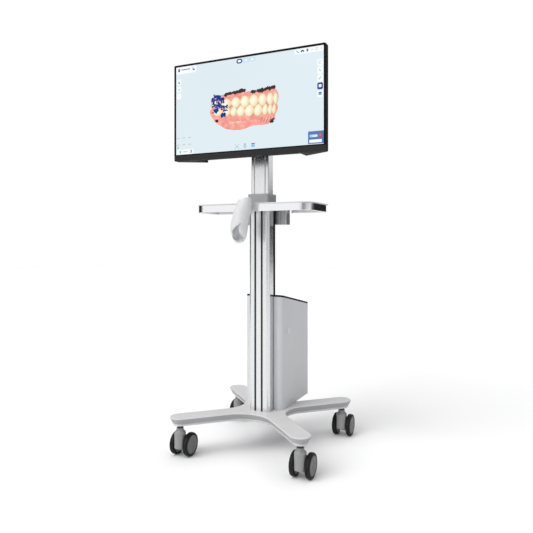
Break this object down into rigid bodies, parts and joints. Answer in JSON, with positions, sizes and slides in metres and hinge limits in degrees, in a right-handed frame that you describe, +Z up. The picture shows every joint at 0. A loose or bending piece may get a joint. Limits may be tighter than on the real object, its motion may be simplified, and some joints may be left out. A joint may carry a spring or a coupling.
{
  "type": "mobile dental scanner cart",
  "caption": "Mobile cart for a dental scanner: four-leg base on casters, telescopic column, tray with holder, tilting monitor and computer case.",
  "frame": {"origin": "on the floor, at the bottom centre of the whole cart's box", "axes": "+Z up along the column, -Y towards the user (the screen faces -Y), +X to the user's right"},
  "size_m": [0.54, 0.503, 1.298],
  "materials": {
    "shell_plastic": "satin",
    "dark_steel": "powder coat",
    "zinc": "zinc plated",
    "caster_grey": "moulded",
    "disc_grey": "moulded",
    "tyre": "soft tread",
    "aluminium": "anodised",
    "duct_black": "satin",
    "collar_grey": "moulded",
    "polished_rail": "polished",
    "tray_sheet": "powder coat",
    "bracket_dark": "brushed, blackened",
    "screw_black": "black oxide",
    "holder_frost": "frosted, translucent",
    "bezel_black": "fine texture",
    "chin_grey": "fine texture",
    "monitor_shell": "textured",
    "display": "anti-glare film",
    "panel_plastic": "plain",
    "case_grey": "fine powder coat",
    "trim_black": "satin",
    "guide_white": "machined",
    "button_grey": "moulded"
  },
  "bodies": {
    "root": {"base_shell": "shell_plastic", "base_frame": "dark_steel", "column_foot": "aluminium", "column_bolts": "zinc", "caster_stems": "zinc", "column": "aluminium", "cable_duct": "duct_black", "column_collar": "collar_grey", "gas_spring_cylinder": "dark_steel", "tray_plate": "tray_sheet", "tray_rail": "polished_rail", "tray_bracket": "bracket_dark", "tray_screws": "screw_black", "scanner_holder": "holder_frost", "case_shell": "case_grey", "case_trim": "trim_black", "mini_computer": "monitor_shell", "power_inlet": "duct_black"},
    "mast": {"mast": "aluminium", "mast_guide": "guide_white", "mast_cap": "duct_black", "gas_spring_rod": "zinc", "tilt_bracket": "dark_steel", "tilt_pin": "zinc"},
    "monitor": {"vesa_plate": "dark_steel", "vesa_screws": "zinc", "monitor_back": "monitor_shell", "monitor_bezel": "bezel_black", "monitor_chin": "chin_grey", "lcd_panel": "panel_plastic", "screen_glass": "display", "monitor_feet": "bezel_black"},
    "monitor_button": {"monitor_button": "bezel_black"},
    "case_door": {"case_door": "case_grey"},
    "case_button": {"case_button": "button_grey"},
    "fl_caster": {"fl_housing": "caster_grey", "fl_axle": "zinc"},
    "fl_left_wheel": {"fl_left_hub": "disc_grey", "fl_left_tyre": "tyre"},
    "fl_right_wheel": {"fl_right_hub": "disc_grey", "fl_right_tyre": "tyre"},
    "fr_caster": {"fr_housing": "caster_grey", "fr_axle": "zinc"},
    "fr_left_wheel": {"fr_left_hub": "disc_grey", "fr_left_tyre": "tyre"},
    "fr_right_wheel": {"fr_right_hub": "disc_grey", "fr_right_tyre": "tyre"},
    "bl_caster": {"bl_housing": "caster_grey", "bl_axle": "zinc"},
    "bl_left_wheel": {"bl_left_hub": "disc_grey", "bl_left_tyre": "tyre"},
    "bl_right_wheel": {"bl_right_hub": "disc_grey", "bl_right_tyre": "tyre"},
    "br_caster": {"br_housing": "caster_grey", "br_axle": "zinc"},
    "br_left_wheel": {"br_left_hub": "disc_grey", "br_left_tyre": "tyre"},
    "br_right_wheel": {"br_right_hub": "disc_grey", "br_right_tyre": "tyre"}
  },
  "joints": [
    {"name": "mast_slide", "type": "slide", "parent": "root", "child": "mast", "axis": [0, 0, 1], "range_m": [-0.1, 0.2]},
    {"name": "monitor_tilt", "type": "hinge", "parent": "mast", "child": "monitor", "pos_m": [0, -0.0845, 1.14355], "axis": [-1, 0, 0], "range_deg": [-5, 20]},
    {"name": "monitor_button_press", "type": "slide", "parent": "monitor", "child": "monitor_button", "axis": [0, 0, 1], "range_m": [0, 0.0008], "stiffness_N_per_m": 900, "springref_m": -0.001},
    {"name": "case_door_swing", "type": "hinge", "parent": "root", "child": "case_door", "pos_m": [-0.062, 0.217, 0.3], "axis": [0, 0, 1], "range_deg": [0, 100]},
    {"name": "case_button_press", "type": "slide", "parent": "root", "child": "case_button", "axis": [-1, 0, 0], "range_m": [0, 0.0015], "stiffness_N_per_m": 900, "springref_m": -0.001},
    {"name": "fl_swivel", "type": "hinge", "parent": "root", "child": "fl_caster", "pos_m": [-0.21, -0.2165, 0.08], "axis": [0, 0, 1], "continuous": true},
    {"name": "fl_left_roll", "type": "hinge", "parent": "fl_caster", "child": "fl_left_wheel", "pos_m": [-0.235, -0.1945, 0.038], "axis": [1, 0, 0], "continuous": true},
    {"name": "fl_right_roll", "type": "hinge", "parent": "fl_caster", "child": "fl_right_wheel", "pos_m": [-0.185, -0.1945, 0.038], "axis": [1, 0, 0], "continuous": true},
    {"name": "fr_swivel", "type": "hinge", "parent": "root", "child": "fr_caster", "pos_m": [0.21, -0.2165, 0.08], "axis": [0, 0, 1], "continuous": true},
    {"name": "fr_left_roll", "type": "hinge", "parent": "fr_caster", "child": "fr_left_wheel", "pos_m": [0.185, -0.1945, 0.038], "axis": [1, 0, 0], "continuous": true},
    {"name": "fr_right_roll", "type": "hinge", "parent": "fr_caster", "child": "fr_right_wheel", "pos_m": [0.235, -0.1945, 0.038], "axis": [1, 0, 0], "continuous": true},
    {"name": "bl_swivel", "type": "hinge", "parent": "root", "child": "bl_caster", "pos_m": [-0.21, 0.1915, 0.08], "axis": [0, 0, 1], "continuous": true},
    {"name": "bl_left_roll", "type": "hinge", "parent": "bl_caster", "child": "bl_left_wheel", "pos_m": [-0.235, 0.2135, 0.038], "axis": [1, 0, 0], "continuous": true},
    {"name": "bl_right_roll", "type": "hinge", "parent": "bl_caster", "child": "bl_right_wheel", "pos_m": [-0.185, 0.2135, 0.038], "axis": [1, 0, 0], "continuous": true},
    {"name": "br_swivel", "type": "hinge", "parent": "root", "child": "br_caster", "pos_m": [0.21, 0.1915, 0.08], "axis": [0, 0, 1], "continuous": true},
    {"name": "br_left_roll", "type": "hinge", "parent": "br_caster", "child": "br_left_wheel", "pos_m": [0.185, 0.2135, 0.038], "axis": [1, 0, 0], "continuous": true},
    {"name": "br_right_roll", "type": "hinge", "parent": "br_caster", "child": "br_right_wheel", "pos_m": [0.235, 0.2135, 0.038], "axis": [1, 0, 0], "continuous": true}
  ]
}
